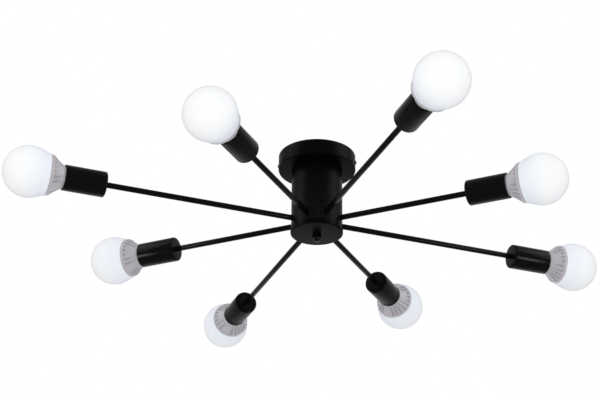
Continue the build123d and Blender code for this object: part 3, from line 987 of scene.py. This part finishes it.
armMeshes = [makeArm(lightValues[kind], armValues) for kind in ("longArm", "shortArm")]
cupMesh, holderMesh = makeCup(cupValues), makeHolder(holderValues)
shellMesh, tongueMesh = makeSocketShell(shellValues), makeTongue(tongueValues)
globeMesh, sinkMesh = makeGlobe(globeValues), makeHeatSink(sinkValues)
baseMesh, insulatorMesh = makeBaseShell(baseValues), makeInsulator(insulatorValues)
contactMesh = makeContact(contactValues)
for index in range(lightValues["armCount"]):
    number, place = index + 1, cupPlace(index)
    arm, cup, bulb = f"arm_{number}", f"cup_{number}", f"bulb_{number}"
    addPiece(f"armTube_{number}", armMeshes[index % 2], "fixture", [arm],
             armPlace(index, lightValues["columnRadius"]))
    addPiece(f"cupShell_{number}", cupMesh, "fixture", [cup], place)
    addPiece(f"lampholderBody_{number}", holderMesh, "fixture", ["lampholders"],
             place)
    addPiece(f"socketShell_{number}", shellMesh, "fixture", ["socket_contacts"], place)
    addPiece(f"contactTongue_{number}", tongueMesh, "fixture", ["socket_contacts"], place)
    addPiece(f"globeCover_{number}", globeMesh, bulb, [f"{bulb}_globe"], place)
    addPiece(f"heatSink_{number}", sinkMesh, bulb, [f"{bulb}_heatsink"], place)
    addPiece(f"baseShell_{number}", baseMesh, bulb, [f"{bulb}_base"], place)
    addPiece(f"baseInsulator_{number}", insulatorMesh, bulb, [f"{bulb}_base"],
             place)
    addPiece(f"bulbContact_{number}", contactMesh, f"{bulb}_carrier",
             [f"{bulb}_contact"], place)
print("arms, cups and bulbs built")

# each lamp has a place, a length, a width and a power in watts
stageValues = {
    "floorLevel": -6500.0,      # low enough to leave the views from below clear
    "floorHalf": 24000.0, "floorColor": (0.86, 0.86, 0.86), "floorRoughness": 0.9,
    "backdropShare": 0.9,       # how much of the floor's look is plain white
    "worldStrength": 0.94,
    "aimedAt": (0, 0, -110),
    "fillLamp": ((330, -2750, -1400), 1200, 1200, 15.0),
    "glossLamps": [
        ((-1500, -480, 700), 1000, 1400, 19.0),
        ((1580, -130, 700), 1000, 1400, 23.0),
        ((-1450, -650, -740), 400, 400, 15.0),
        ((1450, -650, -740), 400, 400, 15.0),
        ((-190, 1690, -1000), 2000, 1400, 5.5),
    ],
}
white = (1, 1, 1, 1)


def backdropShare(tree):
    # 1 where the camera, a reflection or clear glass looks straight at the background
    path = tree.nodes.new("ShaderNodeLightPath").outputs
    both = newMath(tree, "MAXIMUM", path["Is Camera Ray"], path["Is Glossy Ray"])
    return newMath(tree, "MAXIMUM", both, path["Is Transmission Ray"])


def makeFloor(values):
    half, level = values["floorHalf"], values["floorLevel"]
    corners = [(x * half, y * half, level) for x, y in ((-1, -1), (1, -1), (1, 1), (-1, 1))]
    material = bpy.data.materials.new("paleFloor")
    material.use_nodes = True
    tree = material.node_tree
    shader, output = tree.nodes["Principled BSDF"], tree.nodes["Material Output"]
    shader.inputs["Base Color"].default_value = (*values["floorColor"], 1)
    shader.inputs["Roughness"].default_value = values["floorRoughness"]
    glow = newNode(tree, "ShaderNodeEmission", {"Color": white, "Strength": 1.0})
    share = newMath(tree, "MULTIPLY", backdropShare(tree), values["backdropShare"])
    mixed = newNode(tree, "ShaderNodeMixShader", {
        0: share, 1: shader.outputs[0], 2: glow.outputs[0]})
    tree.links.new(mixed.outputs[0], output.inputs["Surface"])
    floor = bpy.data.objects.new("floor", makeMesh("floor", (corners, [[0, 1, 2, 3]]), material))
    bpy.context.scene.collection.objects.link(floor)


def makeWorld(values):
    world = bpy.data.worlds.new("studio")
    bpy.context.scene.world = world
    world.use_nodes = True
    tree = world.node_tree
    tree.nodes.clear()
    light, seen = [newNode(tree, "ShaderNodeBackground", {"Color": white, "Strength": strength})
                   for strength in (values["worldStrength"], 1.0)]
    mixed = newNode(tree, "ShaderNodeMixShader", {
        0: backdropShare(tree), 1: light.outputs[0], 2: seen.outputs[0]})
    tree.links.new(mixed.outputs[0], newNode(tree, "ShaderNodeOutputWorld").inputs["Surface"])


def makeLamps(values):
    # the first lamp lights the surfaces, and the others only show in reflections
    lamps = [values["fillLamp"]] + values["glossLamps"]
    for number, (spot, length, width, power) in enumerate(lamps):
        data = bpy.data.lights.new(f"softbox_{number}", "AREA")
        data.shape, data.size, data.size_y = "RECTANGLE", length * mm, width * mm
        data.energy = power
        lamp = bpy.data.objects.new(f"softbox_{number}", data)
        bpy.context.scene.collection.objects.link(lamp)
        lamp.visible_glossy, lamp.visible_diffuse = number > 0, number == 0
        lamp.location = Vector(spot) * mm
        towards = Vector(values["aimedAt"]) - Vector(spot)
        lamp.rotation_euler = towards.to_track_quat("-Z", "Y").to_euler()


# as fitted to the arms, cups and globes in the photo
cameraValues = {
    "place": (255.1, -2202.0, -1214.8), "heading": 7.31, "pitch": 27.15, "roll": -0.55,
    "lens": 92.82, "sensor": 36.0, "near": 50.0, "far": 60000.0,
}


def makeCamera(values):
    data = bpy.data.cameras.new("camera")
    data.lens, data.sensor_width, data.sensor_fit = values["lens"], values["sensor"], "HORIZONTAL"
    data.clip_start, data.clip_end = values["near"] * mm, values["far"] * mm
    camera = bpy.data.objects.new("camera", data)
    bpy.context.scene.collection.objects.link(camera)
    turns = [(values["heading"], "Z"), (values["pitch"], "X"), (values["roll"], "Y"), (90, "X")]
    matrix = Matrix.Translation(Vector(values["place"]) * mm)
    for angle, axis in turns:
        matrix = matrix @ Matrix.Rotation(radians(angle), 4, axis)
    camera.matrix_world = matrix
    bpy.context.scene.camera = camera


makeFloor(stageValues)
makeWorld(stageValues)
makeLamps(stageValues)
makeCamera(cameraValues)
bpy.context.scene.view_settings.view_transform = "Standard"
print("stage, lamps and camera placed")

bpy.context.view_layer.update()
